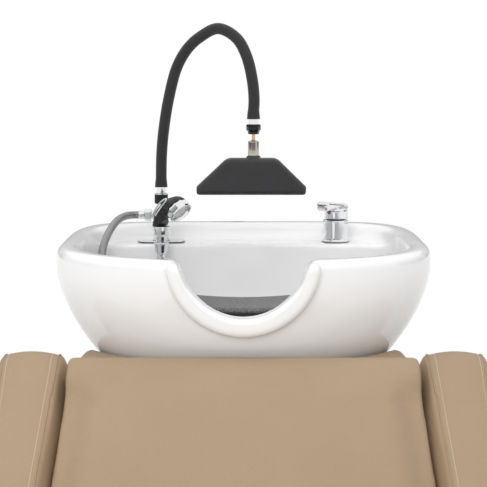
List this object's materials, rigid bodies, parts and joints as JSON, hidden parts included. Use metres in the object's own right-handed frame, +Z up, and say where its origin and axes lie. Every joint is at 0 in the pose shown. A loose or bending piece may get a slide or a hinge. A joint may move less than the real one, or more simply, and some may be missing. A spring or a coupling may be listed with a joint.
{
  "type": "shampoo backwash unit",
  "caption": "Salon backwash: padded armchair with a tilting ceramic basin, mixer tap, hand shower and a waterfall head on an arched hose.",
  "frame": {"origin": "on the floor, straight below the middle of the basin waste, on the underside of the steel floor plate", "axes": "+Z up, -Y towards the seated client's feet, +X to the right as seen from the client's feet"},
  "size_m": [0.8, 1.3424, 1.3426],
  "materials": {
    "ceramic": "glossy white glaze",
    "leather": "matt beige upholstery with white topstitching",
    "chrome": "polished",
    "steel": "zinc plated",
    "dark_steel": "matt black powder coat",
    "brass": "polished",
    "nickel": "satin nickel",
    "braid": "woven steel braid",
    "charcoal": "fine satin texture",
    "hose_foam": "soft matt foam sleeve",
    "pad_foam": "speckled foam",
    "black_plastic": "semi-gloss",
    "grey_plastic": "satin",
    "white_plastic": "satin",
    "plywood": "raw birch ply"
  },
  "bodies": {
    "chair": {"floor_plate": "dark_steel", "base_frame": "dark_steel", "plinth": "black_plastic", "seat_frame": "dark_steel", "seat_board": "plywood", "backrest_board": "plywood", "front_panel": "leather", "seat_cushion": "leather", "backrest_cushion": "leather", "arm_left": "leather", "arm_right": "leather", "collar": "leather", "housing": "leather", "door_hinge": "steel", "tilt_yoke": "steel", "tilt_axle": "chrome", "waste_hose": "grey_plastic", "waste_socket": "white_plastic", "valve_hot": "chrome", "supply_hose_hot": "braid", "valve_cold": "chrome", "supply_hose_cold": "braid"},
    "service_door": {"service_door": "white_plastic"},
    "door_latch": {"door_latch": "black_plastic"},
    "tilt_lock": {"lock_rod": "chrome", "lock_knob": "black_plastic"},
    "basin": {"basin_cradle": "steel", "basin": "ceramic", "waste_flange": "chrome", "waste_nut": "black_plastic", "waste_tail": "white_plastic", "hair_trap": "white_plastic", "mixed_hose": "braid", "mixer_body": "chrome", "mixer_nut": "brass", "deck_plate": "chrome", "shower_holder": "chrome", "diverter_column": "chrome", "column_nut": "brass", "hose_nut": "chrome", "shower_hose": "braid"},
    "strainer": {"strainer": "chrome"},
    "neck_rest": {"neck_pad": "pad_foam", "neck_tray": "black_plastic"},
    "mixer_swivel": {"mixer_cartridge": "white_plastic"},
    "mixer_lever": {"mixer_lever": "chrome"},
    "diverter_knob": {"diverter_knob": "chrome"},
    "hand_shower": {"shower_collar": "chrome", "shower_grip": "black_plastic"},
    "spray_head": {"spray_ring": "chrome", "spray_face": "grey_plastic"},
    "thumb_lever": {"thumb_lever": "chrome"},
    "arch": {"arch_nut": "black_plastic", "arch_ferrule_lower": "chrome", "arch_hose": "hose_foam", "arch_ferrule_upper": "chrome", "ball_nut": "black_plastic"},
    "ball_joint": {"ball_stem": "brass"},
    "head_bell": {"swivel_bell": "nickel"},
    "waterfall": {"waterfall_head": "charcoal"}
  },
  "joints": [
    {"name": "basin_tilt", "type": "hinge", "parent": "chair", "child": "basin", "pos_m": [0, -0.13, 0.672], "axis": [1, 0, 0], "range_deg": [-6, 3], "deforming": ["waste_hose", "supply_hose_hot", "supply_hose_cold"]},
    {"name": "tilt_lock_turn", "type": "hinge", "parent": "chair", "child": "tilt_lock", "pos_m": [0, -0.045, 0.648], "axis": [1, 0, 0], "range_deg": [0, 180]},
    {"name": "service_door_swing", "type": "hinge", "parent": "chair", "child": "service_door", "pos_m": [-0.15, 0.2065, 0.33], "axis": [0, 0, 1], "range_deg": [0, 100]},
    {"name": "door_latch_turn", "type": "hinge", "parent": "service_door", "child": "door_latch", "pos_m": [0.12, 0.196, 0.33], "axis": [0, 1, 0], "range_deg": [0, 90]},
    {"name": "strainer_lift", "type": "slide", "parent": "basin", "child": "strainer", "axis": [0, 0, 1], "range_m": [0, 0.04]},
    {"name": "neck_rest_lift", "type": "slide", "parent": "basin", "child": "neck_rest", "axis": [0, 0, 1], "range_m": [0, 0.1]},
    {"name": "mixer_turn", "type": "hinge", "parent": "basin", "child": "mixer_swivel", "pos_m": [0.173, 0.195, 0.97], "axis": [0, 0, 1], "range_deg": [-45, 45]},
    {"name": "mixer_lift", "type": "hinge", "parent": "mixer_swivel", "child": "mixer_lever", "pos_m": [0.18903, 0.21219, 0.981], "axis": [-0.7314, 0.682, 0], "range_deg": [0, 20]},
    {"name": "diverter_turn", "type": "hinge", "parent": "basin", "child": "diverter_knob", "pos_m": [-0.154, 0.19, 0.988], "axis": [1, 0, 0], "range_deg": [0, 90]},
    {"name": "hand_shower_lift", "type": "slide", "parent": "basin", "child": "hand_shower", "axis": [0, 0, 1], "range_m": [0, 0.02], "deforming": ["shower_hose"]},
    {"name": "spray_turn", "type": "hinge", "parent": "hand_shower", "child": "spray_head", "pos_m": [-0.112, 0.105, 0.9995], "axis": [0.6211, -0.4508, -0.6411], "range_deg": [0, 60]},
    {"name": "thumb_lever_press", "type": "hinge", "parent": "hand_shower", "child": "thumb_lever", "pos_m": [-0.163, 0.1165, 0.9955], "axis": [-0.158, 0.7948, 0.5859], "range_deg": [0, 3]},
    {"name": "arch_swivel", "type": "hinge", "parent": "basin", "child": "arch", "pos_m": [-0.154, 0.19, 1.015], "axis": [0, 0, 1], "range_deg": [0, 100]},
    {"name": "head_swing", "type": "hinge", "parent": "arch", "child": "ball_joint", "pos_m": [0.018, 0.1, 1.152], "axis": [1, 0, 0], "range_deg": [-15, 15]},
    {"name": "head_roll", "type": "hinge", "parent": "ball_joint", "child": "head_bell", "pos_m": [0.018, 0.1, 1.152], "axis": [0, 1, 0], "range_deg": [-10, 10]},
    {"name": "head_spin", "type": "hinge", "parent": "head_bell", "child": "waterfall", "pos_m": [0.018, 0.1, 1.152], "axis": [0, 0, 1], "range_deg": [-25, 25]}
  ]
}
